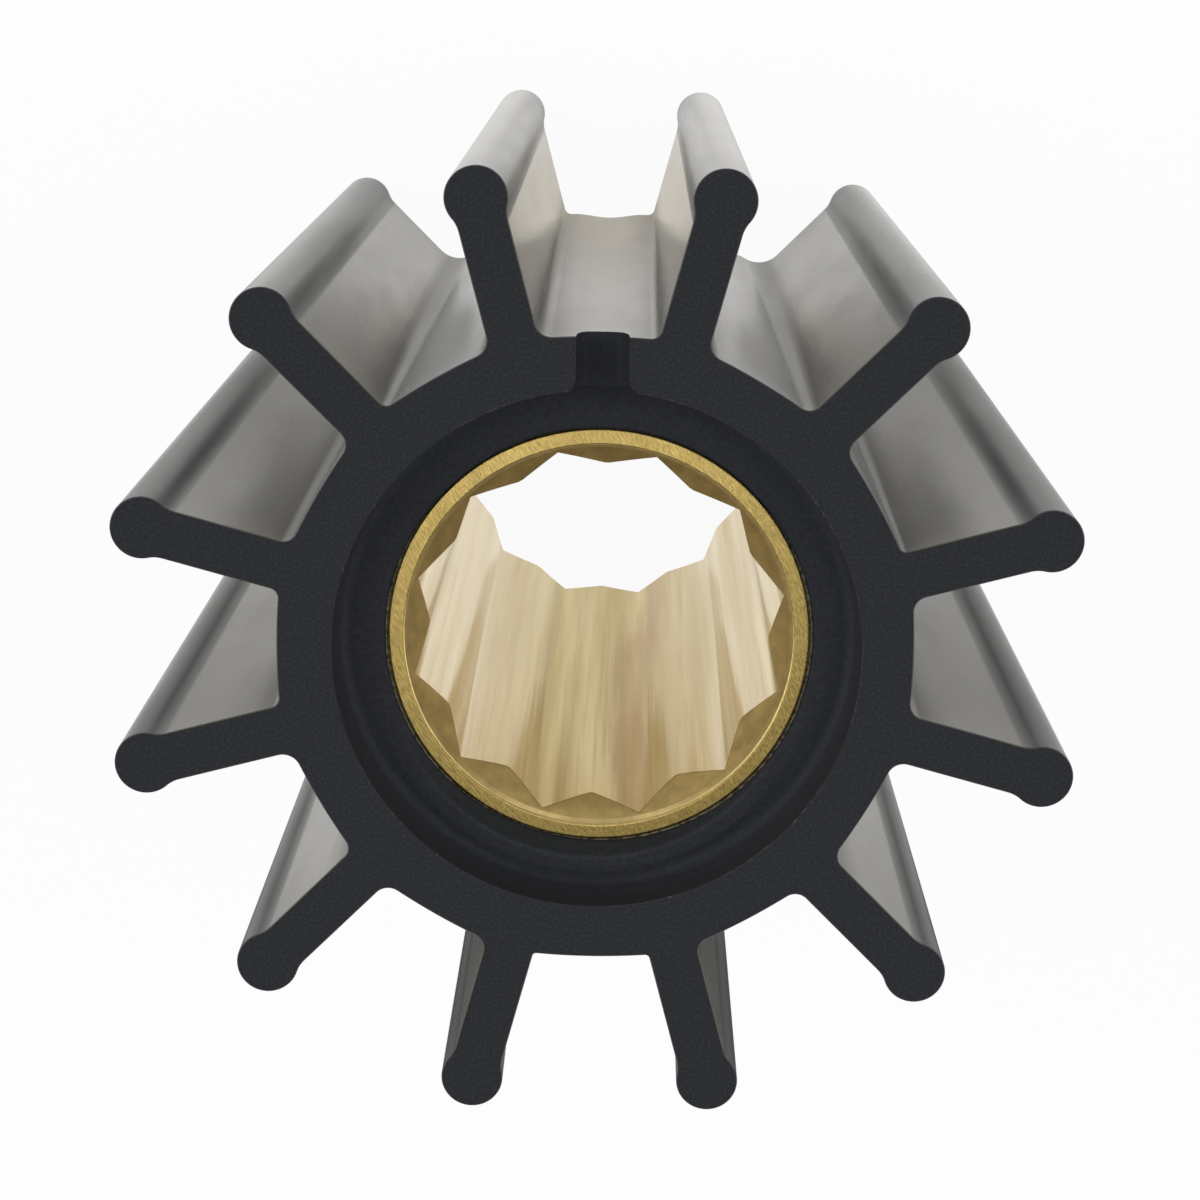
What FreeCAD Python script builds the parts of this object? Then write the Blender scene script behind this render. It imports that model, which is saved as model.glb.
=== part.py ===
import FreeCAD, Part
import math
import os

# Flexible pump impeller. Millimetres, +Z along the shaft, the back end face on z = 0.
# The front end, with the slot, is up. The slot points along +Y, between two blades.

# Impeller: overall sizes
TIP_DIAMETER = 65.0
WIDTH = 80.0
BLADE_COUNT = 12

# Blade section
TIP_RADIUS = 2.05
WEB_THICKNESS = 3.25
NECK_RADIUS = 2.0
ROOT_RADIUS = 1.0

# Hub section: the wall between two blades is a shallow arc, nearly a flat facet
HUB_APOTHEM = 20.75
FACET_ARC_RADIUS = 45.0

# Recesses at the two ends of the hub. The front one reaches a little below the bush's end face.
RECESS_RADIUS = 17.3
BACK_RECESS_DEPTH = 6.0
RECESS_CORNER_RADIUS = 0.8

# Slot across the front face of the hub
SLOT_WIDTH = 3.4
SLOT_DEPTH = 2.3
SLOT_CORNER_RADIUS = 0.8
SLOT_MOUTH_RADIUS = 0.8

# Brass bush
BUSH_RADIUS = 14.0
BUSH_FACE_DEPTH = 4.7
BUSH_PROUD = 0.2
MOUTH_RADIUS = 12.95
LEAD_IN_RADIUS = 12.72
LEAD_IN_DEPTH = 0.47
LEAD_IN_ANGLE = 40.0

# Spline in the bush
SPLINE_COUNT = 12
GROOVE_RADIUS = 12.6
RIDGE_RADIUS = 11.35
RIDGE_FLAT = 0.3
SPLINE_TURN = -1.9

# Sizes that follow from the ones above
PITCH = 360.0 / BLADE_COUNT
FIRST_BLADE = PITCH / 2.0
WEB_HALF = WEB_THICKNESS / 2.0
TIP_CENTRE = TIP_DIAMETER / 2.0 - TIP_RADIUS
SPLINE_PITCH = 360.0 / SPLINE_COUNT
BUSH_FRONT = WIDTH - BUSH_FACE_DEPTH
FRONT_FLOOR = BUSH_FRONT - BUSH_PROUD
BUSH_BACK = BACK_RECESS_DEPTH
OVERCUT = 1.0

UP = FreeCAD.Vector(0, 0, 1)
AXIS_START = FreeCAD.Vector(0, 0, 0)


def flat_point(x, y, z=0.0):
    return FreeCAD.Vector(x, y, z)


def turned_point(point, degrees):
    """The point turned about the shaft axis."""
    angle = math.radians(degrees)
    x = point.x * math.cos(angle) - point.y * math.sin(angle)
    y = point.x * math.sin(angle) + point.y * math.cos(angle)
    return FreeCAD.Vector(x, y, point.z)


def mirrored(point):
    """The point on the other side of a blade's centre line."""
    return FreeCAD.Vector(point.x, -point.y, point.z)


def arc_between(start, end, centre, radius):
    """The short arc from start to end about a centre."""
    middle = (start + end) * 0.5 - centre
    middle.normalize()
    return Part.Arc(start, centre + middle * radius, end).toShape()


def blade_points():
    """Centres and tangent points of one blade that lies along +X, on its +Y side."""
    half_pitch = math.radians(FIRST_BLADE)
    facet_centre = flat_point(math.cos(half_pitch), math.sin(half_pitch)) * (HUB_APOTHEM - FACET_ARC_RADIUS)
    root_y = WEB_HALF + ROOT_RADIUS
    root_reach = FACET_ARC_RADIUS + ROOT_RADIUS
    root_x = facet_centre.x + math.sqrt(root_reach ** 2 - (root_y - facet_centre.y) ** 2)
    root_centre = flat_point(root_x, root_y)
    root_on_facet = facet_centre + (root_centre - facet_centre) * (FACET_ARC_RADIUS / root_reach)

    tip_centre = flat_point(TIP_CENTRE, 0)
    neck_y = WEB_HALF + NECK_RADIUS
    neck_reach = TIP_RADIUS + NECK_RADIUS
    neck_x = TIP_CENTRE - math.sqrt(neck_reach ** 2 - neck_y ** 2)
    neck_centre = flat_point(neck_x, neck_y)
    neck_on_tip = tip_centre + (neck_centre - tip_centre) * (TIP_RADIUS / neck_reach)
    return {
        "facet_centre": facet_centre,
        "root_centre": root_centre,
        "root_on_facet": root_on_facet,
        "root_on_web": flat_point(root_x, WEB_HALF),
        "neck_centre": neck_centre,
        "neck_on_web": flat_point(neck_x, WEB_HALF),
        "neck_on_tip": neck_on_tip,
        "tip_end": flat_point(TIP_CENTRE + TIP_RADIUS, 0),
    }


def blade_edges(points, degrees):
    """One blade's outline from its -Y root to its +Y root, then the facet up to the next blade."""
    def at(name, other_side=False):
        point = points[name]
        if other_side:
            point = mirrored(point)
        return turned_point(point, degrees)

    def arc(start, end, centre, radius, other_side=False):
        return arc_between(at(start, other_side), at(end, other_side), at(centre, other_side), radius)

    next_root = turned_point(mirrored(points["root_on_facet"]), degrees + PITCH)
    return [
        arc("root_on_facet", "root_on_web", "root_centre", ROOT_RADIUS, True),
        Part.makeLine(at("root_on_web", True), at("neck_on_web", True)),
        arc("neck_on_web", "neck_on_tip", "neck_centre", NECK_RADIUS, True),
        Part.Arc(at("neck_on_tip", True), at("tip_end"), at("neck_on_tip")).toShape(),
        arc("neck_on_tip", "neck_on_web", "neck_centre", NECK_RADIUS),
        Part.makeLine(at("neck_on_web"), at("root_on_web")),
        arc("root_on_web", "root_on_facet", "root_centre", ROOT_RADIUS),
        arc_between(at("root_on_facet"), next_root, at("facet_centre"), FACET_ARC_RADIUS),
    ]


def turned_solid(edges):
    """The solid made by turning a closed outline in the XZ plane about the shaft axis."""
    face = Part.Face(Part.Wire(edges))
    return face.revolve(AXIS_START, UP, 360)


def recess_cutter(mouth, floor, radius, corner):
    """A round pocket from beyond the mouth to the floor, with a rounded floor corner."""
    toward = 1.0 if floor > mouth else -1.0
    beyond = mouth - toward * OVERCUT
    corner_centre = flat_point(radius - corner, 0, floor - toward * corner)
    points = [
        flat_point(0, 0, beyond),
        flat_point(radius, 0, beyond),
        flat_point(radius, 0, floor - toward * corner),
        flat_point(radius - corner, 0, floor),
        flat_point(0, 0, floor),
    ]
    edges = [
        Part.makeLine(points[0], points[1]),
        Part.makeLine(points[1], points[2]),
        arc_between(points[2], points[3], corner_centre, corner),
        Part.makeLine(points[3], points[4]),
        Part.makeLine(points[4], points[0]),
    ]
    return turned_solid(edges)


def slot_cutter():
    """The bar that cuts the slot: from inside the recess out past the hub, round at its lower corners."""
    inner = RECESS_RADIUS - SLOT_MOUTH_RADIUS - 2.0 * OVERCUT
    outer = HUB_APOTHEM + 2.0 * OVERCUT
    height = SLOT_DEPTH + OVERCUT
    start = flat_point(-SLOT_WIDTH / 2.0, inner, WIDTH - SLOT_DEPTH)
    bar = Part.makeBox(SLOT_WIDTH, outer - inner, height, start)
    lower = []
    for edge in bar.Edges:
        box = edge.BoundBox
        if box.YLength > box.XLength + box.ZLength and box.ZMax < WIDTH - SLOT_DEPTH / 2.0:
            lower.append(edge)
    return bar.makeFillet(SLOT_CORNER_RADIUS, lower)


def round_slot_mouth(body):
    """Rounds the two corners where the slot opens into the recess."""
    corners = []
    for edge in body.Edges:
        box = edge.BoundBox
        reach = math.hypot(edge.CenterOfMass.x, edge.CenterOfMass.y)
        upright = box.ZLength > box.XLength + box.YLength
        on_wall = abs(abs(edge.CenterOfMass.x) - SLOT_WIDTH / 2.0) < SLOT_CORNER_RADIUS / 4.0
        near_front = box.ZMax > WIDTH - SLOT_DEPTH / 4.0
        if upright and on_wall and near_front and reach < RECESS_RADIUS + SLOT_MOUTH_RADIUS / 4.0:
            corners.append(edge)
    return body.makeFillet(SLOT_MOUTH_RADIUS, corners)


def make_impeller():
    """The rubber moulding: hub, blades, recesses and slot."""
    points = blade_points()
    edges = []
    for index in range(BLADE_COUNT):
        edges += blade_edges(points, FIRST_BLADE + index * PITCH)
    section = Part.Face(Part.Wire(edges))
    body = section.extrude(UP * WIDTH)
    bore = Part.makeCylinder(BUSH_RADIUS, WIDTH + 2.0 * OVERCUT, flat_point(0, 0, -OVERCUT))
    front = recess_cutter(WIDTH, FRONT_FLOOR, RECESS_RADIUS, RECESS_CORNER_RADIUS)
    back = recess_cutter(0.0, BACK_RECESS_DEPTH, RECESS_RADIUS, RECESS_CORNER_RADIUS)
    body = body.cut(bore).cut(front).cut(back).cut(slot_cutter())
    return round_slot_mouth(body)


def spline_cutter():
    """The star-shaped bar that cuts the twelve V grooves."""
    points = []
    flat_half = math.degrees(RIDGE_FLAT / 2.0 / RIDGE_RADIUS)
    for index in range(SPLINE_COUNT):
        groove = FIRST_BLADE + SPLINE_TURN + index * SPLINE_PITCH
        ridge = groove + SPLINE_PITCH / 2.0
        points.append(turned_point(flat_point(GROOVE_RADIUS, 0), groove))
        points.append(turned_point(flat_point(RIDGE_RADIUS, 0), ridge - flat_half))
        points.append(turned_point(flat_point(RIDGE_RADIUS, 0), ridge + flat_half))
    points.append(points[0])
    star = Part.Face(Part.makePolygon(points))
    star.translate(UP * -OVERCUT)
    return star.extrude(UP * (WIDTH + 2.0 * OVERCUT))


def mouth_cutter(face_height, inward):
    """The steep edge chamfer and the conical lead-in at one end of the bush."""
    beyond = face_height - inward * OVERCUT
    cone_start = face_height + inward * LEAD_IN_DEPTH
    cone_length = LEAD_IN_RADIUS / math.tan(math.radians(LEAD_IN_ANGLE))
    points = [
        flat_point(0, 0, beyond),
        flat_point(MOUTH_RADIUS, 0, beyond),
        flat_point(MOUTH_RADIUS, 0, face_height),
        flat_point(LEAD_IN_RADIUS, 0, cone_start),
        flat_point(0, 0, cone_start + inward * cone_length),
    ]
    edges = []
    for index, point in enumerate(points):
        edges.append(Part.makeLine(points[index - 1], point))
    return turned_solid(edges)


def make_bush():
    """The brass insert: a tube with turned mouths and a broached spline."""
    body = Part.makeCylinder(BUSH_RADIUS, BUSH_FRONT - BUSH_BACK, flat_point(0, 0, BUSH_BACK))
    body = body.cut(spline_cutter())
    body = body.cut(mouth_cutter(BUSH_FRONT, -1.0))
    return body.cut(mouth_cutter(BUSH_BACK, 1.0))


def save(shape, name):
    solid = shape.Solids[0]
    solid.exportStep("parts/" + name + ".step")
    print(name, len(shape.Solids), solid.isValid(), round(solid.Volume, 1), solid.BoundBox)


os.makedirs("parts", exist_ok=True)
save(make_impeller(), "impeller")
save(make_bush(), "bush")
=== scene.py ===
import math

import bmesh
import bpy
from mathutils import Matrix, Vector


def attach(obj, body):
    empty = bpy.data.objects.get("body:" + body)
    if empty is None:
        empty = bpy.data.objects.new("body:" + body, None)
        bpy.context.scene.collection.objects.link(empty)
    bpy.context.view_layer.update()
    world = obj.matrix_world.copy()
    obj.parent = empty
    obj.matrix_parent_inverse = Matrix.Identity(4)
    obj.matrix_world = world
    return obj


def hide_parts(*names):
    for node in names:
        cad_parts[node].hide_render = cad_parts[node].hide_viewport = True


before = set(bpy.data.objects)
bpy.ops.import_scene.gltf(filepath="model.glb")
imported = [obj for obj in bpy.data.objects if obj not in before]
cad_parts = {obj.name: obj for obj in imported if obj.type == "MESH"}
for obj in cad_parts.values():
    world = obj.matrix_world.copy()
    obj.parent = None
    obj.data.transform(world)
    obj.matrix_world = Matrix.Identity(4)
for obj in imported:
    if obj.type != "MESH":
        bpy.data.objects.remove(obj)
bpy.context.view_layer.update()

# All lengths are millimetres unless their comment says metres
MM = 0.001

# Impeller
WIDTH = 80.0
TIP_CENTRE = 30.45
TIP_RADIUS = 2.05
WEB_HALF = 1.625
NECK_RADIUS = 2.0
# the root fillets differ from blade to blade: (clockwise side, anticlockwise side), from blade 15 on
ROOTS_FRONT = [(1.0, 0.4), (1.0, 0.9), (1.1, 0.7), (1.1, 1.1), (0.6, 1.0), (0.9, 0.65),
               (0.65, 1.2), (0.8, 1.1), (1.0, 0.25), (0.3, 0.9), (1.0, 1.0), (1.1, 1.0)]
ROOTS_BACK = [(1.4, 1.6), (1.6, 2.3), (1.4, 0.6), (0.6, 1.4), (2.3, 1.6), (1.6, 1.4),
              (1.4, 1.4), (1.4, 1.4), (1.4, 0.6), (0.6, 1.4), (1.4, 1.4), (1.4, 1.4)]
HUB_APOTHEM = 20.75
FACET_ARC = 45.0
# at the back end the hub's facets sink by this much
FACET_SAG = 0.4
BLADES = 12
PITCH = 2 * math.pi / BLADES
# radius of the rounded edges
EDGE = 0.07
# a narrow flat beside each rounded edge, which keeps the shading of the flats even
EDGE_FLAT = 0.03

# Recesses
RECESS_RADIUS = 17.25
RECESS_X = 0.1
RECESS_CORNER = 0.8
CORNER_FLAT = 0.1
FRONT_FLOOR = 75.1
BACK_FLOOR = 6.0

# Slot
SLOT_WIDTH = 3.4
SLOT_DEPTH = 2.3
SLOT_X = 0.25
SLOT_SIDE = 0.8
SLOT_ROUND = 1.7
SLOT_MOUTH = 0.95

# Bush
BUSH_X = 0.2
BUSH_RADIUS = 14.0
BUSH_FRONT = 75.3
BUSH_BACK = 6.0
MOUTH_RADIUS = 12.95
LEAD_IN_RADIUS = 12.72
LEAD_IN_DEPTH = 0.47
LEAD_IN_SLOPE = math.tan(math.radians(50.0))
# on the -Y side the mouth's chamfer is wider and flatter by these amounts
LOW_SIDE_WIDER = 0.07
LOW_SIDE_FLATTER = 0.2
GROOVE_RADIUS = 12.6
RIDGE_RADIUS = 11.35
SPLINES = 12
SPLINE_TURN = math.radians(-1.9)
# the ridges are rounded off by this much over this share of a pitch
RIDGE_BLUNT = 0.06
RIDGE_BLUNT_SHARE = 0.03
SPLINE_EDGE = 0.03
LIP_INNER = 14.1
LIP_OUTER = 14.26
# the hole in the rubber at the bush's end, where it hides the lip
SEAT_INNER = 13.96

# Material numbers on the two pieces
SIDE, FACE, RECESS, RIM = range(4)
LIP, RING, MOUTH, CONE, BORE = range(5)


# Outlines

def arc_points(centre, radius, start, end, count):
    """Points on the short arc from start to end about a centre, both ends left in."""
    a = math.atan2(start[1] - centre[1], start[0] - centre[0])
    b = math.atan2(end[1] - centre[1], end[0] - centre[0])
    turn = (b - a + math.pi) % (2 * math.pi) - math.pi
    points = []
    for i in range(count + 1):
        t = a + turn * i / count
        points.append((centre[0] + radius * math.cos(t), centre[1] + radius * math.sin(t)))
    return points


def rows_about(points, centre, sign):
    """(point, outward normal) rows of an arc. The sign is 1 where it bulges and -1 where it is hollow."""
    rows = []
    for p in points:
        n = (p[0] - centre[0], p[1] - centre[1])
        size = math.hypot(*n) * sign
        rows.append((p, (n[0] / size, n[1] / size)))
    return rows


def blade_half(root_radius, sag):
    """Points and outward normals from the middle of a blade's tip to the middle of the next facet."""
    tip_steps, neck_steps, web_steps, root_steps, facet_steps = 40, 14, 6, 20, 5
    half = PITCH / 2
    facet_centre = ((HUB_APOTHEM - FACET_ARC) * math.cos(half), (HUB_APOTHEM - FACET_ARC) * math.sin(half))
    root_y = WEB_HALF + root_radius
    reach = FACET_ARC + root_radius
    root_x = facet_centre[0] + math.sqrt(reach ** 2 - (root_y - facet_centre[1]) ** 2)
    root = (root_x, root_y)
    share = FACET_ARC / reach
    root_on_facet = (facet_centre[0] + (root[0] - facet_centre[0]) * share,
                     facet_centre[1] + (root[1] - facet_centre[1]) * share)
    neck_y = WEB_HALF + NECK_RADIUS
    neck_reach = TIP_RADIUS + NECK_RADIUS
    neck_x = TIP_CENTRE - math.sqrt(neck_reach ** 2 - neck_y ** 2)
    neck = (neck_x, neck_y)
    tip = (TIP_CENTRE, 0.0)
    share = TIP_RADIUS / neck_reach
    neck_on_tip = (tip[0] + (neck[0] - tip[0]) * share, neck[1] * share)

    tip_end = (TIP_CENTRE + TIP_RADIUS, 0.0)
    rows = rows_about(arc_points(tip, TIP_RADIUS, tip_end, neck_on_tip, tip_steps), tip, 1)
    neck_arc = arc_points(neck, NECK_RADIUS, neck_on_tip, (neck_x, WEB_HALF), neck_steps)
    rows += rows_about(neck_arc[1:], neck, -1)
    for i in range(1, web_steps):
        rows.append(((neck_x + (root_x - neck_x) * i / web_steps, WEB_HALF), (0.0, 1.0)))
    root_arc = arc_points(root, root_radius, (root_x, WEB_HALF), root_on_facet, root_steps)
    rows += rows_about(root_arc, root, -1)
    middle = (HUB_APOTHEM * math.cos(half), HUB_APOTHEM * math.sin(half))
    facet = arc_points(facet_centre, FACET_ARC, root_on_facet, middle, facet_steps)[1:]
    for i, p in enumerate(facet):
        depth = sag * math.sin(math.pi / 2 * (i + 1) / len(facet)) ** 2
        facet[i] = (p[0] - depth * math.cos(half), p[1] - depth * math.sin(half))
    return rows + rows_about(facet, facet_centre, 1)


def outline(share):
    """The whole outline, anticlockwise, as (point, outward normal) rows. The share is 0 at the front."""
    rows = []
    for k in range(BLADES):
        angle = PITCH / 2 + k * PITCH
        ca, sa = math.cos(angle), math.sin(angle)
        radii = [front + (back - front) * share for front, back in zip(ROOTS_FRONT[k], ROOTS_BACK[k])]
        low_half, high_half = [blade_half(radius, FACET_SAG * share) for radius in radii]
        lower = [((p[0], -p[1]), (n[0], -n[1])) for p, n in reversed(low_half[1:-1])]
        for p, n in lower + high_half:
            rows.append(((p[0] * ca - p[1] * sa, p[0] * sa + p[1] * ca),
                         (n[0] * ca - n[1] * sa, n[0] * sa + n[1] * ca)))
    return rows


def star_radius(angle):
    """The bore's radius at an angle: straight flanks from groove to ridge, the ridge a little blunt."""
    pitch = 2 * math.pi / SPLINES
    a = (angle - (PITCH / 2 + SPLINE_TURN)) % pitch
    a = min(a, pitch - a)
    gx, gy = GROOVE_RADIUS, 0.0
    rx, ry = RIDGE_RADIUS * math.cos(pitch / 2), RIDGE_RADIUS * math.sin(pitch / 2)
    dx, dy = rx - gx, ry - gy
    r = (gx * dy - gy * dx) / (math.cos(a) * dy - math.sin(a) * dx)
    ridge = (pitch / 2 - a) / pitch
    if ridge < RIDGE_BLUNT_SHARE:
        r += RIDGE_BLUNT * (1 - ridge / RIDGE_BLUNT_SHARE) ** 2
    return r


def lip_share(angle):
    """How far the lip stands clear of the bush: hidden at the top, full at the sides, less at lower left."""
    hidden, low_left, low_left_width, low_left_loss = 0.12, 252.0, 20.0, 0.5
    sine_hidden, sine_span = 0.75, 0.5
    clear = min(max((sine_hidden - math.sin(angle)) / sine_span, hidden), 1.0)
    off = (math.degrees(angle) - low_left + 180.0) % 360.0 - 180.0
    return clear * (1.0 - low_left_loss * math.exp(-(off / low_left_width) ** 2))


# Meshes

class Builder:
    """Vertices and faces with a material number on each face."""

    def __init__(self):
        self.verts = []
        self.faces = []
        self.marks = []

    def loop(self, points):
        start = len(self.verts)
        self.verts.extend((x * MM, y * MM, z * MM) for x, y, z in points)
        return list(range(start, len(self.verts)))

    def bridge(self, a, b, mark):
        """Quads between two closed loops of the same length."""
        n = len(a)
        for i in range(n):
            j = (i + 1) % n
            self.faces.append((a[i], a[j], b[j], b[i]))
            self.marks.append(mark)

    def mesh(self, name, materials):
        data = bpy.data.meshes.new(name)
        data.from_pydata(self.verts, [], self.faces)
        for m in materials:
            data.materials.append(m)
        data.polygons.foreach_set("material_index", self.marks)
        data.update()
        return data


def rounding(steps):
    """(inset, drop) pairs of a quarter-round edge, from the wall to the flat."""
    pairs = []
    for i in range(steps + 1):
        t = math.pi / 2 * i / steps
        pairs.append((EDGE * (1 - math.cos(t)), EDGE * (1 - math.sin(t))))
    return pairs


def fill_between(builder, outer, inner, mark):
    """Triangles over the flat ring between two loops."""
    bm = bmesh.new()
    made = {}
    for index in outer + inner:
        made[index] = bm.verts.new(builder.verts[index])
    edges = []
    for loop in (outer, inner):
        for i in range(len(loop)):
            edges.append(bm.edges.new((made[loop[i]], made[loop[(i + 1) % len(loop)]])))
    back = {v: k for k, v in made.items()}
    bmesh.ops.triangle_fill(bm, use_beauty=True, use_dissolve=False, edges=edges)
    for f in bm.faces:
        builder.faces.append(tuple(back[v] for v in f.verts))
        builder.marks.append(mark)
    bm.free()


def side_loops(b, edge):
    """Loops up the outline from the back face to the front face, with the material mark after each."""
    lengths = 14

    def at(inset, z):
        rows = outline(1 - z / WIDTH)
        return b.loop([(p[0] - n[0] * inset, p[1] - n[1] * inset, z) for p, n in rows])

    loops = [at(EDGE + EDGE_FLAT, 0.0)]
    marks = [FACE]
    for inset, drop in reversed(edge):
        loops.append(at(inset, drop))
        marks.append(SIDE)
    heights = [WIDTH * i / lengths for i in range(1, lengths)]
    for z in [EDGE + EDGE_FLAT] + heights + [WIDTH - EDGE - EDGE_FLAT]:
        loops.append(at(0.0, z))
        marks.append(SIDE)
    for inset, drop in edge:
        loops.append(at(inset, WIDTH - drop))
        marks.append(SIDE)
    marks[-1] = FACE
    loops.append(at(EDGE + EDGE_FLAT, WIDTH))
    return loops, marks


def recess_loops(b, edge, face, floor):
    """Loops from a face down the recess's wall and over its floor to the seat of the bush."""
    count = 288
    corner_steps = 8
    turn = 2 * math.pi / count
    up = 1 if face > floor else -1

    def ring(radius, z):
        return b.loop([(RECESS_X + radius * math.cos(turn * i), radius * math.sin(turn * i), z)
                       for i in range(count)])

    def seat_ring(extra, drop):
        points = []
        for i in range(count):
            a = turn * i
            r = SEAT_INNER + (LIP_OUTER - SEAT_INNER) * lip_share(a) + extra
            points.append((BUSH_X + r * math.cos(a), r * math.sin(a), floor - up * drop))
        return b.loop(points)

    rows = [(RECESS_RADIUS + EDGE + EDGE_FLAT, face)]
    rows += [(RECESS_RADIUS + inset, face - up * drop) for inset, drop in reversed(edge)]
    rows.append((RECESS_RADIUS, face - up * (EDGE + EDGE_FLAT)))
    rows.append((RECESS_RADIUS, floor + up * (RECESS_CORNER + CORNER_FLAT)))
    for i in range(corner_steps + 1):
        t = math.pi / 2 * i / corner_steps
        rows.append((RECESS_RADIUS - RECESS_CORNER + RECESS_CORNER * math.cos(t),
                     floor + up * (RECESS_CORNER - RECESS_CORNER * math.sin(t))))
    rows.append((RECESS_RADIUS - RECESS_CORNER - CORNER_FLAT, floor))
    loops = [ring(radius, z) for radius, z in rows]
    # the softly broken edge round the bush
    for extra, drop in ((0.12, 0.0), (0.1, 0.01), (0.0, 0.1), (0.0, 0.4)):
        loops.append(seat_ring(extra, drop))
    return loops


def impeller_mesh(materials):
    b = Builder()
    edge = rounding(4)
    loops, marks = side_loops(b, edge)
    for i in range(len(loops) - 1):
        b.bridge(loops[i], loops[i + 1], marks[i])
    rings = recess_loops(b, edge, WIDTH, FRONT_FLOOR) + recess_loops(b, edge, 0.0, BACK_FLOOR)[::-1]
    rim_rows = len(edge) + 1
    for i in range(len(rings) - 1):
        from_face = min(i, len(rings) - 2 - i)
        b.bridge(rings[i], rings[i + 1], RIM if from_face < rim_rows else RECESS)
    fill_between(b, loops[-1], rings[0], FACE)
    fill_between(b, loops[0], rings[-1], FACE)
    return b.mesh("impeller_rubber", materials)


def slot_cutter():
    """A bar with a rounded floor whose inner end flares into the recess."""
    b = Builder()
    lengths, bends = 60, 8
    above, inner, outer = 1.0, RECESS_RADIUS - 2.2, HUB_APOTHEM + 1.5
    wall = math.sqrt(RECESS_RADIUS ** 2 - (SLOT_WIDTH / 2 + SLOT_MOUTH) ** 2)
    rows = []
    for i in range(lengths + 1):
        y = inner + (outer - inner) * i / lengths
        inside = min(max(wall + SLOT_MOUTH - y, 0.0), SLOT_MOUTH)
        half = SLOT_WIDTH / 2 + SLOT_MOUTH - math.sqrt(SLOT_MOUTH ** 2 - inside ** 2)
        right = [(half, WIDTH + above)]
        for k in range(bends + 1):
            t = math.pi / 2 * k / bends
            right.append((half - SLOT_SIDE * (1 - math.cos(t)),
                          WIDTH - SLOT_DEPTH + SLOT_ROUND * (1 - math.sin(t))))
        section = [(-x, z) for x, z in right] + list(reversed(right))
        rows.append(b.loop([(x + SLOT_X, y, z) for x, z in section]))
    for i in range(lengths):
        b.bridge(rows[i], rows[i + 1], 0)
    b.faces.append(tuple(reversed(rows[0])))
    b.faces.append(tuple(rows[-1]))
    b.marks += [0, 0]
    return b


def bush_angles():
    """Angles round the bush."""
    pitch = 2 * math.pi / SPLINES
    # wide steps beside the groove and ridge lines, so that the shading of the flanks runs together softly
    half = [math.radians(degrees) for degrees in (0.0, 4.2, 7.3, 10.4, 14.5)]
    angles = []
    for k in range(SPLINES):
        start = PITCH / 2 + SPLINE_TURN + k * pitch
        angles += [start + step for step in half]
        angles += [start + pitch / 2]
        angles += [start + pitch - step for step in reversed(half[1:])]
    return angles


def bush_end(b, angles, face, sign):
    """(loop, mark) rows from the lip over the bush's end face and down the cone to the start of the bore."""
    # 0 on the +Y side, 1 at the very bottom of the -Y side
    low_side = [max(0.0, -math.sin(a)) ** 2 for a in angles]
    cone_depth = LEAD_IN_DEPTH + (LEAD_IN_RADIUS - RIDGE_RADIUS) * LEAD_IN_SLOPE

    def ring(radii, drop):
        z = face - sign * drop
        return b.loop([(BUSH_X + r * math.cos(a), r * math.sin(a), z) for a, r in zip(angles, radii)])

    def lip_ring(radius, drop):
        return ring([BUSH_RADIUS + (radius - BUSH_RADIUS) * lip_share(a) for a in angles], drop)

    def chamfer_ring(share, least_drop):
        """A loop between the mouth, at share 0, and the lead-in, at share 1."""
        points = []
        for a, low in zip(angles, low_side):
            outer = MOUTH_RADIUS + LOW_SIDE_WIDER * low
            depth = LEAD_IN_DEPTH - LOW_SIDE_FLATTER * low
            r = outer + (LEAD_IN_RADIUS - outer) * share
            z = face - sign * max(depth * share, least_drop)
            points.append((BUSH_X + r * math.cos(a), r * math.sin(a), z))
        return b.loop(points)

    def cone_ring(extra, drop):
        """A loop on the cone where the spline's outline, widened by extra, meets it."""
        largest = LEAD_IN_RADIUS - 0.005
        points = []
        for a, low in zip(angles, low_side):
            start = LEAD_IN_DEPTH - LOW_SIDE_FLATTER * low
            slope = (cone_depth - start) / (LEAD_IN_RADIUS - RIDGE_RADIUS)
            r = min(star_radius(a) + extra, largest)
            z = face - sign * (start + (LEAD_IN_RADIUS - r) * slope + drop)
            points.append((BUSH_X + r * math.cos(a), r * math.sin(a), z))
        return b.loop(points)

    rows = []
    # the lip round the bush and a fine groove
    for radius, drop in ((LIP_OUTER, 0.5), (LIP_OUTER, 0.30), (LIP_OUTER - 0.03, 0.25),
                         (LIP_INNER + 0.04, 0.22), (LIP_INNER + 0.01, 0.26), (LIP_INNER, 0.42),
                         (BUSH_RADIUS + 0.01, 0.42)):
        rows.append((lip_ring(radius, drop), LIP))
    # the face with softly broken edges
    for inset, drop in ((0.0, 0.30), (0.0, 0.10), (0.02, 0.035), (0.06, 0.008), (0.10, 0.0), (0.14, 0.0)):
        rows.append((ring([BUSH_RADIUS - inset] * len(angles), drop), RING))
    rows.append((chamfer_ring(-0.6, 0.0), RING))
    rows.append((chamfer_ring(-0.4, 0.0), RING))
    rows.append((chamfer_ring(-0.1, 0.012), MOUTH))
    for share in (0.12, 0.3, 0.85, 0.97):
        rows.append((chamfer_ring(share, 0.0), MOUTH))
    rows.append((chamfer_ring(1.0, 0.0), CONE))
    # the rounded edge between cone and spline, in shares of its size
    for extra, drop, mark in ((2.2, 0.0, CONE), (1.0, 0.0, CONE), (0.25, 0.4, BORE), (0.0, 1.4, BORE),
                              (0.0, 3.0, BORE)):
        rows.append((cone_ring(SPLINE_EDGE * extra, SPLINE_EDGE * drop), mark))
    return rows


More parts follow.
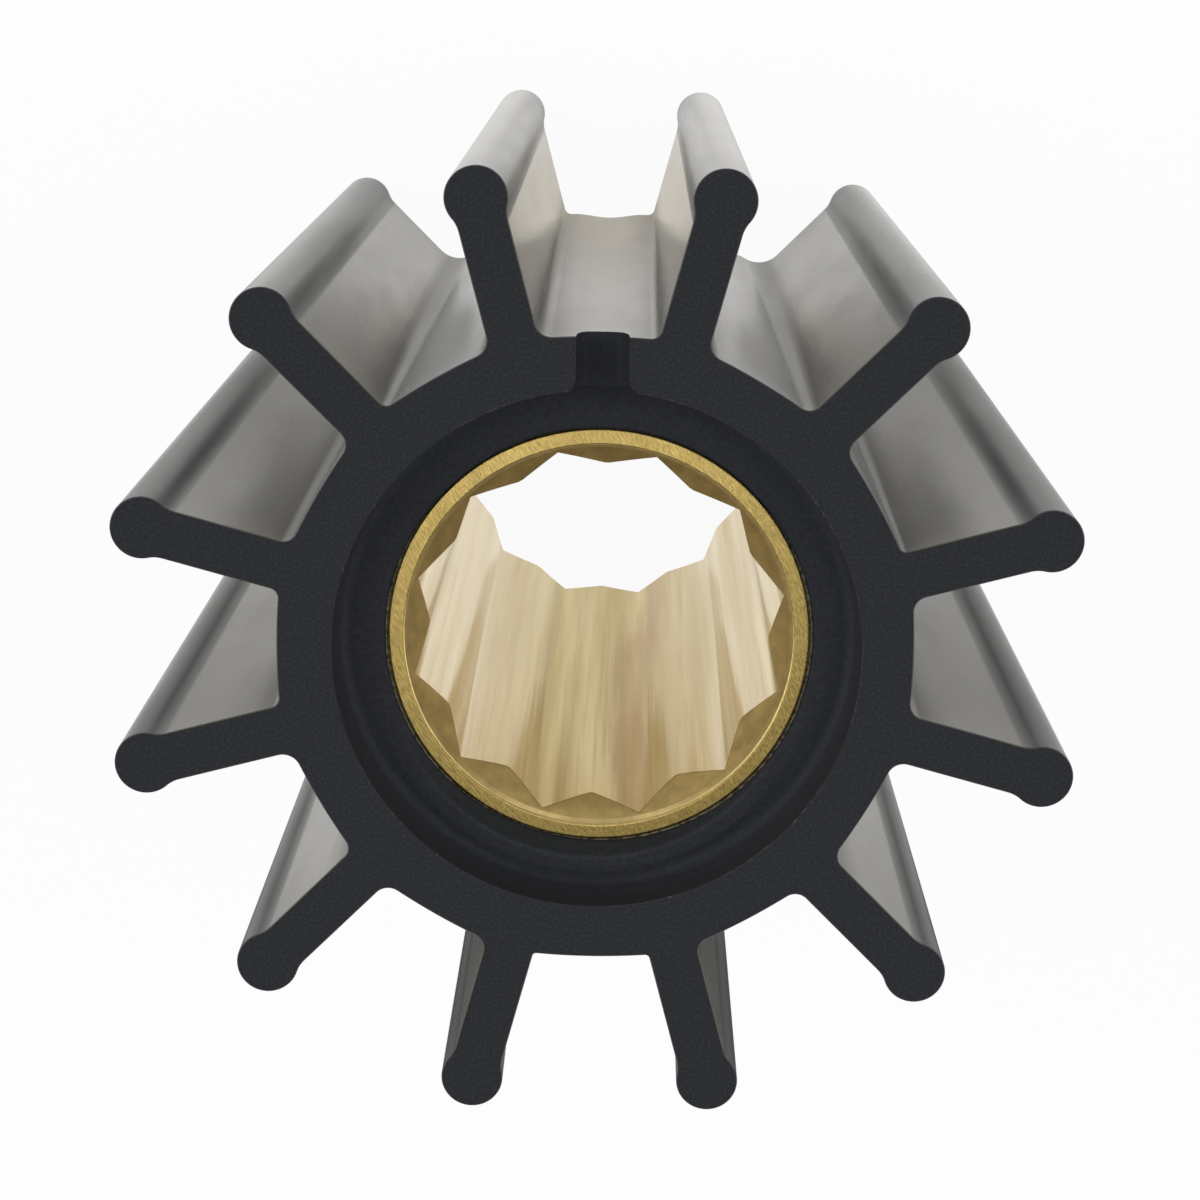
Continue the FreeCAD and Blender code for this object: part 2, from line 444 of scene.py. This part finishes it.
def bush_mesh(materials):
    b = Builder()
    lengths = 24
    angles = bush_angles()
    front = bush_end(b, angles, BUSH_FRONT, 1)
    back = bush_end(b, angles, BUSH_BACK, -1)
    loops = [row[0] for row in front]
    marks = [row[1] for row in front]
    top, low = front[-1][0], back[-1][0]
    for i in range(1, lengths):
        points = []
        for k, angle in enumerate(angles):
            z_top = b.verts[top[k]][2] / MM
            z_low = b.verts[low[k]][2] / MM
            r = star_radius(angle)
            z = z_top + (z_low - z_top) * i / lengths
            points.append((BUSH_X + r * math.cos(angle), r * math.sin(angle), z))
        loops.append(b.loop(points))
        marks.append(BORE)
    loops += [row[0] for row in reversed(back)]
    # a row's mark is that of the faces between it and the next row toward the bore
    marks += [row[1] for row in reversed(back[:-1])] + [LIP]
    for i in range(len(loops) - 1):
        b.bridge(loops[i + 1], loops[i], marks[i])
    b.bridge(loops[0], loops[-1], LIP)
    return b.mesh("bush_brass", materials)


def new_object(data):
    ob = bpy.data.objects.new(data.name, data)
    bpy.context.scene.collection.objects.link(ob)
    return ob


def face_outward(data):
    bm = bmesh.new()
    bm.from_mesh(data)
    bmesh.ops.recalc_face_normals(bm, faces=bm.faces)
    bm.to_mesh(data)
    bm.free()


def smooth(ob, degrees):
    """Smooth shading, with a crease on each edge that bends by more than the angle."""
    data = ob.data
    data.polygons.foreach_set("use_smooth", [True] * len(data.polygons))
    face_outward(data)
    limit = math.radians(degrees)
    bm = bmesh.new()
    bm.from_mesh(data)
    for e in bm.edges:
        e.smooth = len(e.link_faces) == 2 and e.calc_face_angle(0.0) < limit
    bm.to_mesh(data)
    bm.free()


def cut_slot(rubber):
    """Cuts the slot into the impeller's mesh."""
    cutter = new_object(slot_cutter().mesh("slot_cutter", [rubber.data.materials[RECESS]]))
    face_outward(cutter.data)
    modifier = rubber.modifiers.new("slot", "BOOLEAN")
    modifier.operation = "DIFFERENCE"
    modifier.solver = "EXACT"
    modifier.object = cutter
    modifier.material_mode = "TRANSFER"
    depsgraph = bpy.context.evaluated_depsgraph_get()
    cut_data = bpy.data.meshes.new_from_object(rubber.evaluated_get(depsgraph), depsgraph=depsgraph)
    rubber.modifiers.clear()
    rubber.data = cut_data
    bpy.data.objects.remove(cutter)


# Node helpers. The scales of noises are per metre.

def nodes_of(name):
    m = bpy.data.materials.new(name)
    m.use_nodes = True
    tree = m.node_tree
    tree.nodes.clear()
    out = tree.nodes.new("ShaderNodeOutputMaterial")
    shader = tree.nodes.new("ShaderNodeBsdfPrincipled")
    tree.links.new(shader.outputs["BSDF"], out.inputs["Surface"])
    return m, tree, shader


def coords(tree, scale=(1, 1, 1), turn=0.0):
    """Object coordinates, turned about the axis and then stretched."""
    source = tree.nodes.new("ShaderNodeTexCoord")
    turned = tree.nodes.new("ShaderNodeMapping")
    turned.inputs["Rotation"].default_value = (0, 0, math.radians(turn))
    tree.links.new(source.outputs["Object"], turned.inputs["Vector"])
    stretched = tree.nodes.new("ShaderNodeMapping")
    stretched.inputs["Scale"].default_value = scale
    tree.links.new(turned.outputs["Vector"], stretched.inputs["Vector"])
    return stretched.outputs["Vector"]


def place(tree, kind="Object", centre=(0.0, 0.0, 0.0)):
    """X, Y and Z of a coordinate, measured from a centre in millimetres."""
    source = tree.nodes.new("ShaderNodeTexCoord")
    moved = tree.nodes.new("ShaderNodeMapping")
    moved.inputs["Location"].default_value = [-c * MM for c in centre]
    tree.links.new(source.outputs[kind], moved.inputs["Vector"])
    parts = tree.nodes.new("ShaderNodeSeparateXYZ")
    tree.links.new(moved.outputs["Vector"], parts.inputs["Vector"])
    return parts.outputs


def noise(tree, vector, scale, detail=4.0, rough=0.55):
    n = tree.nodes.new("ShaderNodeTexNoise")
    n.inputs["Scale"].default_value = scale
    n.inputs["Detail"].default_value = detail
    n.inputs["Roughness"].default_value = rough
    tree.links.new(vector, n.inputs["Vector"])
    return n.outputs["Fac"]


def ramp(tree, value, stops):
    """A colour ramp. The stops are (position, colour), with positions from 0 to 1."""
    r = tree.nodes.new("ShaderNodeValToRGB")
    elements = r.color_ramp.elements
    while len(elements) > 1:
        elements.remove(elements[0])
    elements[0].position = stops[0][0]
    elements[0].color = (*stops[0][1], 1)
    for position, colour in stops[1:]:
        e = elements.new(position)
        e.color = (*colour, 1)
    tree.links.new(value, r.inputs["Fac"])
    return r.outputs["Color"]


def length_ramp(tree, length, low, high, stops):
    """A ramp over a length. The stops are (millimetres, grey or colour) and lie between low and high."""
    rows = []
    for at, shade in stops:
        colour = shade if isinstance(shade, tuple) else (shade, shade, shade)
        rows.append(((at - low) / (high - low), colour))
    return ramp(tree, spread(tree, length, low * MM, high * MM, 0.0, 1.0), rows)


def spread(tree, value, low, high, out_low, out_high):
    """The value stretched from one range to another, and held at the second range's ends."""
    m = tree.nodes.new("ShaderNodeMapRange")
    m.inputs["From Min"].default_value = low
    m.inputs["From Max"].default_value = high
    m.inputs["To Min"].default_value = out_low
    m.inputs["To Max"].default_value = out_high
    tree.links.new(value, m.inputs["Value"])
    return m.outputs["Result"]


def fade(tree, length, start, end):
    """0 where the length is at the start and 1 where it is at the end, in millimetres, and held beyond."""
    if start < end:
        return spread(tree, length, start * MM, end * MM, 0.0, 1.0)
    return spread(tree, length, end * MM, start * MM, 1.0, 0.0)


def bump(tree, height, strength, depth):
    """A normal bent by a height. The depth is in millimetres."""
    b = tree.nodes.new("ShaderNodeBump")
    b.inputs["Strength"].default_value = strength
    b.inputs["Distance"].default_value = depth * MM
    tree.links.new(height, b.inputs["Height"])
    return b.outputs["Normal"]


def maths(tree, operation, a, b=0.0):
    """A math node with one or two values, each a number or a socket."""
    m = tree.nodes.new("ShaderNodeMath")
    m.operation = operation
    for i, value in enumerate((a, b)):
        if isinstance(value, float):
            m.inputs[i].default_value = value
        else:
            tree.links.new(value, m.inputs[i])
    return m.outputs[0]


def distance(tree, x, y):
    """How far a point lies from the axis."""
    squares = maths(tree, "ADD", maths(tree, "MULTIPLY", x, x), maths(tree, "MULTIPLY", y, y))
    return maths(tree, "SQRT", squares)


def mixed(tree, factor, a, b):
    """A value between two values, each a number or a socket."""
    m = tree.nodes.new("ShaderNodeMix")
    m.data_type = "FLOAT"
    for value, socket in ((factor, "Factor"), (a, "A"), (b, "B")):
        if isinstance(value, float):
            m.inputs[socket].default_value = value
        else:
            tree.links.new(value, m.inputs[socket])
    return m.outputs["Result"]


def tinted(tree, factor, a, b, blend="MIX"):
    """A colour between two colours, each a tuple or a socket."""
    m = tree.nodes.new("ShaderNodeMix")
    m.data_type = "RGBA"
    m.blend_type = blend
    colour_a, colour_b = m.inputs[6], m.inputs[7]
    for value, socket in ((factor, m.inputs["Factor"]), (a, colour_a), (b, colour_b)):
        if isinstance(value, float):
            socket.default_value = value
        elif isinstance(value, tuple):
            socket.default_value = (*value, 1)
        else:
            tree.links.new(value, socket)
    return m.outputs[2]


def product(tree, a, b):
    return tinted(tree, 1.0, a, b, "MULTIPLY")


def grazing(tree, value, edge, power=2.0):
    """The value where a surface faces the viewer, falling to the edge value at a glancing angle."""
    weight = tree.nodes.new("ShaderNodeLayerWeight")
    weight.inputs["Blend"].default_value = 0.5
    return mixed(tree, maths(tree, "POWER", weight.outputs["Facing"], power), value, edge)


def scaled(colour, k):
    return tuple(c * k for c in colour)


# Rubber

def rubber_face():
    """The two end faces, cut flat, with a fine grain."""
    m, tree, s = nodes_of("rubber_face")
    fine = noise(tree, coords(tree), 5200.0, 3.0)
    broad = noise(tree, coords(tree), 160.0, 3.0)
    base = (0.0285, 0.0302, 0.0342)
    colour = ramp(tree, fine, [(0.25, scaled(base, 0.72)), (0.5, base), (0.72, scaled(base, 1.35))])
    tree.links.new(colour, s.inputs["Base Color"])
    tree.links.new(spread(tree, broad, 0.3, 0.7, 0.72, 0.85), s.inputs["Roughness"])
    s.inputs["Specular IOR Level"].default_value = 0.12
    tree.links.new(bump(tree, fine, 0.35, 0.03), s.inputs["Normal"])
    return m


def rubber_rim():
    """The recess's edge, with pale specks where it is rubbed."""
    m, tree, s = nodes_of("rubber_rim")
    specks = noise(tree, coords(tree), 3200.0, 3.0, 0.6)
    patches = noise(tree, coords(tree), 260.0, 3.0)
    base = (0.028, 0.030, 0.034)
    pale = (0.095, 0.098, 0.088)
    rubbed = tinted(tree, spread(tree, specks, 0.5, 0.66, 0.0, 1.0), base, pale)
    colour = tinted(tree, spread(tree, patches, 0.45, 0.65, 0.0, 1.0), base, rubbed)
    tree.links.new(colour, s.inputs["Base Color"])
    s.inputs["Roughness"].default_value = 0.7
    s.inputs["Specular IOR Level"].default_value = 0.15
    tree.links.new(bump(tree, specks, 0.3, 0.03), s.inputs["Normal"])
    return m


def rubber_recess():
    """The recesses and the slot, smoother than the end faces."""
    m, tree, s = nodes_of("rubber_recess")
    fine = noise(tree, coords(tree), 4200.0, 3.0)
    base = (0.0345, 0.0370, 0.0430)
    colour = ramp(tree, fine, [(0.25, scaled(base, 0.8)), (0.5, base), (0.75, scaled(base, 1.25))])
    # on the -Y side, a fine ring mark in the floor, off centre, and a darker brownish zone inside it
    x, y, z = place(tree, centre=(-0.15, -1.7, 0.0))
    brownish = (1.0, 1.0, 0.9)
    shade = length_ramp(tree, distance(tree, x, y), 12.0, 16.0, (
        (12.2, scaled(brownish, 0.55)), (13.5, scaled(brownish, 0.62)), (13.75, 1.2), (13.95, 0.92),
        (14.6, 1.0), (14.8, 0.78), (15.1, 0.78), (15.3, 1.0)))
    colour = tinted(tree, fade(tree, y, -4.0, -12.0), colour, product(tree, colour, shade))
    # painted shade: darker in the corner of the floor and at the top of the wall, a little lighter low on
    # the wall
    painted_wall_shade = length_ramp(tree, z, FRONT_FLOOR, WIDTH, (
        (75.1, 1.0), (75.16, 0.9), (75.5, 0.86), (75.9, 0.96), (76.6, 1.05), (77.6, 0.85), (79.0, 0.72),
        (80.0, 0.72)))
    tree.links.new(product(tree, colour, painted_wall_shade), s.inputs["Base Color"])
    s.inputs["Roughness"].default_value = 0.6
    s.inputs["Specular IOR Level"].default_value = 0.15
    tree.links.new(bump(tree, fine, 0.25, 0.02), s.inputs["Normal"])
    return m


def along_blade(tree):
    """How far out along the nearest blade's centre line a point lies, and its height."""
    x, y, z = place(tree)
    angle = maths(tree, "SUBTRACT", maths(tree, "ARCTAN2", y, x), PITCH / 2)
    folded = maths(tree, "PINGPONG", angle, PITCH / 2)
    return maths(tree, "MULTIPLY", distance(tree, x, y), maths(tree, "COSINE", folded)), z


def rubber_side():
    """The moulded sides: duller at necks and roots, with painted reflected light that makes the webs browner
    and the bulbs bluer.
    """
    m, tree, s = nodes_of("rubber_side")
    drawn = noise(tree, coords(tree, (1, 1, 0.06)), 700.0, 3.0)
    cloud = noise(tree, coords(tree, (1, 1, 0.25)), 280.0, 4.0, 0.5)
    along, z = along_blade(tree)
    low, high = 20.0, 33.0
    # painted reflected light: the webs lighter and browner and the bulbs bluer than the facets
    facet, web, bulb = (0.050, 0.050, 0.048), (0.084, 0.076, 0.058), (0.039, 0.041, 0.045)
    painted_reflection_tones = ((20.8, facet), (21.8, web), (28.4, web), (28.9, bulb))
    dark = length_ramp(tree, along, low, high, [(at, scaled(tone, 0.7)) for at, tone in painted_reflection_tones])
    light = length_ramp(tree, along, low, high, [(at, scaled(tone, 1.3)) for at, tone in painted_reflection_tones])
    colour = tinted(tree, spread(tree, cloud, 0.3, 0.7, 0.0, 1.0), dark, light)
    tree.links.new(colour, s.inputs["Base Color"])

    clean_roughness_and_front_light = grazing(tree, spread(tree, cloud, 0.3, 0.7, 0.30, 0.43), 0.10, 4.0)
    dullness = length_ramp(tree, along, low, high, (
        (20.0, 0.0), (20.5, 0.05), (21.0, 0.19), (21.8, 0.21), (22.6, 0.06), (23.6, 0.0),
        (28.5, 0.0), (28.7, 0.25), (29.5, 0.38), (30.3, 0.3), (31.4, 0.17), (32.4, 0.0)))
    near_front = spread(tree, z, 0.8 * WIDTH * MM, WIDTH * MM, 0.0, 0.04)
    streaky = spread(tree, drawn, 0.3, 0.7, 0.7, 1.0)
    dull = maths(tree, "MULTIPLY", maths(tree, "ADD", dullness, near_front), streaky)
    tree.links.new(mixed(tree, dull, clean_roughness_and_front_light, 0.85), s.inputs["Roughness"])
    s.inputs["Specular IOR Level"].default_value = 0.65
    s.inputs["Sheen Weight"].default_value = 0.18
    s.inputs["Sheen Roughness"].default_value = 0.4
    s.inputs["Sheen Tint"].default_value = (1.0, 0.97, 0.92, 1.0)
    tree.links.new(bump(tree, drawn, 0.1, 0.04), s.inputs["Normal"])
    return m


# Brass

def brass_ring():
    """The bush's end face, sanded in one direction."""
    m, tree, s = nodes_of("brass_ring")
    sanding = noise(tree, coords(tree, (1, 0.12, 1), -30), 15500.0, 2.0, 0.6)
    patch = noise(tree, coords(tree), 420.0, 4.0)
    brass = (0.60, 0.44, 0.145)
    groove, ridge = scaled(brass, 0.66), scaled(brass, 1.22)
    colour = tinted(tree, spread(tree, sanding, 0.32, 0.68, 0.0, 1.0), groove, ridge)
    colour = tinted(tree, spread(tree, patch, 0.5, 0.75, 0.0, 0.35), colour, scaled(brass, 0.8))
    tree.links.new(colour, s.inputs["Base Color"])
    s.inputs["Metallic"].default_value = 1.0
    tree.links.new(spread(tree, patch, 0.3, 0.7, 0.17, 0.23), s.inputs["Roughness"])
    tree.links.new(bump(tree, sanding, 0.2, 0.03), s.inputs["Normal"])
    return m


def brass_turned(name, tint, metallic, roughness, dark, grain, detail):
    """A turned surface. Its dark patches are a share of the tint, and the grain is their noise's scale."""
    m, tree, s = nodes_of(name)
    mottle = noise(tree, coords(tree), grain, detail, 0.6)
    colour = tinted(tree, spread(tree, mottle, 0.35, 0.65, 0.0, 1.0), scaled(tint, dark), scaled(tint, 1.1))
    tree.links.new(colour, s.inputs["Base Color"])
    s.inputs["Metallic"].default_value = metallic
    tree.links.new(spread(tree, mottle, 0.3, 0.7, roughness * 0.9, roughness * 1.1), s.inputs["Roughness"])
    tree.links.new(bump(tree, noise(tree, coords(tree), 5000.0, 2.0), 0.25, 0.02), s.inputs["Normal"])
    return m


def brass_lip():
    """The thin lip round the bush, speckled with dark dirt."""
    return brass_turned("brass_lip", (0.40, 0.35, 0.22), 0.5, 0.5, 0.1, 3500.0, 3.0)


def brass_mouth():
    """The chamfer round the mouth."""
    return brass_turned("brass_mouth", (0.68, 0.50, 0.20), 0.5, 0.32, 0.86, 900.0, 4.0)


def brass_cone():
    """The lead-in cone."""
    return brass_turned("brass_cone", (0.58, 0.415, 0.155), 0.55, 0.4, 0.86, 900.0, 4.0)


def brass_bore():
    """The drawn wall of the spline, with long streaks."""
    m, tree, s = nodes_of("brass_bore")
    drawn = noise(tree, coords(tree, (1, 1, 0.012)), 1300.0, 4.0, 0.65)
    broad = noise(tree, coords(tree, (1, 1, 0.03)), 420.0, 3.0)
    stain = noise(tree, coords(tree, (1, 1, 0.06)), 230.0, 4.0)
    streaks = noise(tree, coords(tree, (1, 1, 0.02), 17), 760.0, 4.0, 0.6)
    x, _, z = place(tree)

    olive = (0.42, 0.315, 0.095)
    pale = (0.68, 0.585, 0.36)
    brown = (0.34, 0.18, 0.05)
    wall = tinted(tree, spread(tree, broad, 0.36, 0.64, 0.0, 1.0), olive, pale)
    wall = tinted(tree, spread(tree, stain, 0.54, 0.72, 0.0, 0.8), wall, brown)
    wall = tinted(tree, spread(tree, drawn, 0.52, 0.72, 0.0, 0.75), wall, scaled(olive, 0.7))
    # painted reflection: paler toward the two sides, where the wall reflects the bright floor
    cream = (0.88, 0.815, 0.72)
    sand = (0.69, 0.595, 0.455)
    painted_side_reflection = tinted(tree, spread(tree, streaks, 0.36, 0.62, 0.0, 1.0), cream, sand)
    aside = maths(tree, "ABSOLUTE", x)
    wall = tinted(tree, spread(tree, aside, 4.0 * MM, 9.5 * MM, 0.0, 0.85), wall, painted_side_reflection)
    # painted reflection: browner streaks at the two ends
    end_brown = (0.42, 0.25, 0.09)
    middle = 0.5 * (BUSH_FRONT + BUSH_BACK)
    from_middle = maths(tree, "ABSOLUTE", maths(tree, "SUBTRACT", z, middle * MM))
    painted_end_reflection = maths(tree, "MULTIPLY", fade(tree, from_middle, 20.0, 34.0),
                 spread(tree, streaks, 0.54, 0.70, 0.0, 0.45))
    wall = tinted(tree, painted_end_reflection, wall, end_brown)
    # painted light: lighter toward the front, near the mouth
    clean_roughness_and_front_light = length_ramp(tree, z, 40.0, 74.0, ((40.0, 1.0), (74.0, 1.15)))
    wall = product(tree, wall, clean_roughness_and_front_light)

    tree.links.new(wall, s.inputs["Base Color"])
    s.inputs["Metallic"].default_value = 1.0
    s.inputs["Specular Tint"].default_value = (0.96, 0.94, 0.86, 1.0)
    tree.links.new(grazing(tree, spread(tree, broad, 0.3, 0.7, 0.31, 0.37), 0.15), s.inputs["Roughness"])
    tree.links.new(bump(tree, drawn, 0.6, 0.05), s.inputs["Normal"])
    return m


# Floor

def reflected_floor(tree):
    """The floor's colour in reflections: a little warm, with painted shadow beside and on the -Y side of the
    part and painted light near its +Y side.
    """
    x, y, _ = place(tree)
    aside = maths(tree, "ABSOLUTE", x)
    warm = (1.0, 0.985, 0.96)
    # painted shadow: dimmer on the part's +X side
    colour = tinted(tree, fade(tree, x, 16.0, 36.0), warm, scaled(warm, 0.85))
    # painted shadow: dimmer beside the part's upper left
    upper = maths(tree, "MULTIPLY", fade(tree, y, 12.0, 16.0), fade(tree, y, 30.0, 24.0))
    painted_shadow_upper_left = maths(tree, "MULTIPLY", fade(tree, x, -18.0, -22.0), upper)
    colour = tinted(tree, painted_shadow_upper_left, colour, scaled(warm, 0.72))
    # painted shadow: a dark band on the part's -Y side and a dimmer one beside its +Y half
    painted_shadow_bands = length_ramp(tree, y, -90.0, 30.0, (
        (-85.0, 1.0), (-62.0, 0.07), (-33.0, 0.07), (-26.0, 1.0), (-12.0, 1.0), (5.0, 0.84), (11.0, 0.7),
        (17.0, 0.7), (22.5, 1.0)))
    # no painted shadow close to the hub on its +Y side
    close = maths(tree, "MULTIPLY", fade(tree, aside, 18.0, 14.0), fade(tree, y, 10.0, 14.0))
    colour = product(tree, colour, tinted(tree, close, painted_shadow_bands, (1.0, 1.0, 1.0)))
    # painted light: brighter beside the +Y side's hub facet
    beside = maths(tree, "MULTIPLY", fade(tree, y, 25.0, 31.0), fade(tree, y, 39.5, 36.5))
    beside = maths(tree, "MULTIPLY", fade(tree, aside, 5.5, 3.5), beside)
    colour = tinted(tree, beside, colour, scaled(warm, 1.35))
    # painted reflected light: warmer and a little dimmer between the two uppermost blades
    between = maths(tree, "MULTIPLY", fade(tree, aside, 11.0, 9.0), fade(tree, y, 29.0, 25.0))
    return tinted(tree, between, colour, (0.95, 0.89, 0.78))


def floor_material():
    """A pale floor that keeps its shadow. It is white where it is seen, and near white with painted shadow
    and light in reflections.
    """
    m = bpy.data.materials.new("floor")
    m.use_nodes = True
    tree = m.node_tree
    tree.nodes.clear()
    out = tree.nodes.new("ShaderNodeOutputMaterial")
    diffuse = tree.nodes.new("ShaderNodeBsdfDiffuse")
    diffuse.inputs["Color"].default_value = (0.9, 0.9, 0.9, 1)
    glow = tree.nodes.new("ShaderNodeEmission")
    glow.inputs["Strength"].default_value = 1.0
    mix = tree.nodes.new("ShaderNodeMixShader")
    path = tree.nodes.new("ShaderNodeLightPath")
    white, glow_share = (1.0, 1.0, 1.0), 0.95
    colour = tinted(tree, path.outputs["Is Glossy Ray"], white, reflected_floor(tree))
    tree.links.new(colour, glow.inputs["Color"])
    seen = maths(tree, "MAXIMUM", path.outputs["Is Camera Ray"], path.outputs["Is Glossy Ray"])
    seen = maths(tree, "MAXIMUM", seen, path.outputs["Is Transmission Ray"])
    tree.links.new(maths(tree, "MULTIPLY", seen, glow_share), mix.inputs["Fac"])
    tree.links.new(diffuse.outputs[0], mix.inputs[1])
    tree.links.new(glow.outputs[0], mix.inputs[2])
    tree.links.new(mix.outputs[0], out.inputs["Surface"])
    return m


def make_floor():
    # metres
    half = 4.0
    data = bpy.data.meshes.new("floor")
    corners = [(-half, -half, 0), (half, -half, 0), (half, half, 0), (-half, half, 0)]
    data.from_pydata(corners, [], [(0, 1, 2, 3)])
    data.materials.append(floor_material())
    floor = new_object(data)
    below_part = 0.1 * MM
    floor.location.z = -below_part


# Light and camera

def make_world():
    """Bright round the horizon, dimmer overhead and a little dimmer on the +X side."""
    world = bpy.data.worlds.new("world")
    bpy.context.scene.world = world
    world.use_nodes = True
    tree = world.node_tree
    tree.nodes.clear()
    out = tree.nodes.new("ShaderNodeOutputWorld")
    background = tree.nodes.new("ShaderNodeBackground")
    background.inputs["Color"].default_value = (1, 1, 1, 1)
    tree.links.new(background.outputs[0], out.inputs["Surface"])
    x, _, z = place(tree, "Generated")
    height = spread(tree, z, 0.25, 0.6, 0.85, 0.2)
    side = spread(tree, x, -1.0, 1.0, 1.1, 0.8)
    tree.links.new(maths(tree, "MULTIPLY", height, side), background.inputs["Strength"])


def area_lamp(name, position, size_x, size_y, power):
    """A rectangular lamp that points at the part. Position and size are in metres."""
    centre = Vector((0.0, 0.0, 0.075))
    data = bpy.data.lights.new(name, "AREA")
    data.shape = "RECTANGLE"
    data.size = size_x
    data.size_y = size_y
    data.energy = power
    ob = bpy.data.objects.new(name, data)
    ob.location = position
    ob.rotation_euler = (centre - Vector(position)).to_track_quat("-Z", "Y").to_euler()
    bpy.context.scene.collection.objects.link(ob)


def make_lamps():
    area_lamp("overhead", (-0.05, -0.10, 1.08), 0.34, 0.30, 0.34)
    area_lamp("window_left", (-0.60, 1.08, 0.62), 0.28, 0.28, 0.7)
    area_lamp("window_right", (0.55, 1.08, 0.62), 0.28, 0.28, 0.8)
    area_lamp("fill_left", (-0.90, 0.20, 0.90), 0.9, 0.9, 6.0)
    area_lamp("fill_right", (0.90, 0.10, 0.88), 0.9, 0.9, 5.0)


def make_camera():
    """The photograph's view. The front face's centre in the camera's axes is in multiples of TIP_CENTRE."""
    frame_pixels = 1200
    focal_pixels = 3086.0
    yaw, pitch_down, roll = -0.67, 12.72, -0.91
    front_centre = Vector((-0.011, -0.114, -6.592)) * TIP_CENTRE * MM
    turn = Matrix.Rotation(math.radians(yaw), 3, "Y") @ Matrix.Rotation(math.radians(pitch_down), 3, "X")
    turn = turn @ Matrix.Rotation(math.radians(roll), 3, "Z")
    data = bpy.data.cameras.new("camera")
    data.sensor_width = 36.0
    data.lens = focal_pixels / frame_pixels * data.sensor_width
    # metres
    data.clip_start = 0.01
    data.clip_end = 20
    camera = bpy.data.objects.new("camera", data)
    rotation = turn.transposed()
    position = -(rotation @ front_centre) + Vector((0, 0, WIDTH * MM))
    camera.matrix_world = Matrix.Translation(position) @ rotation.to_4x4()
    bpy.context.scene.collection.objects.link(camera)
    bpy.context.scene.camera = camera
    bpy.context.scene.view_settings.view_transform = "Standard"


# Pieces

def make_rubber():
    rubber = new_object(impeller_mesh([rubber_side(), rubber_face(), rubber_recess(), rubber_rim()]))
    smooth(rubber, 40)
    cut_slot(rubber)
    smooth(rubber, 40)
    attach(rubber, "root")
    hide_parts("impeller")


def make_bush():
    bush = new_object(bush_mesh([brass_lip(), brass_ring(), brass_mouth(), brass_cone(), brass_bore()]))
    smooth(bush, 75)
    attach(bush, "root")
    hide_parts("bush")


make_rubber()
make_bush()
make_floor()
make_world()
make_lamps()
make_camera()
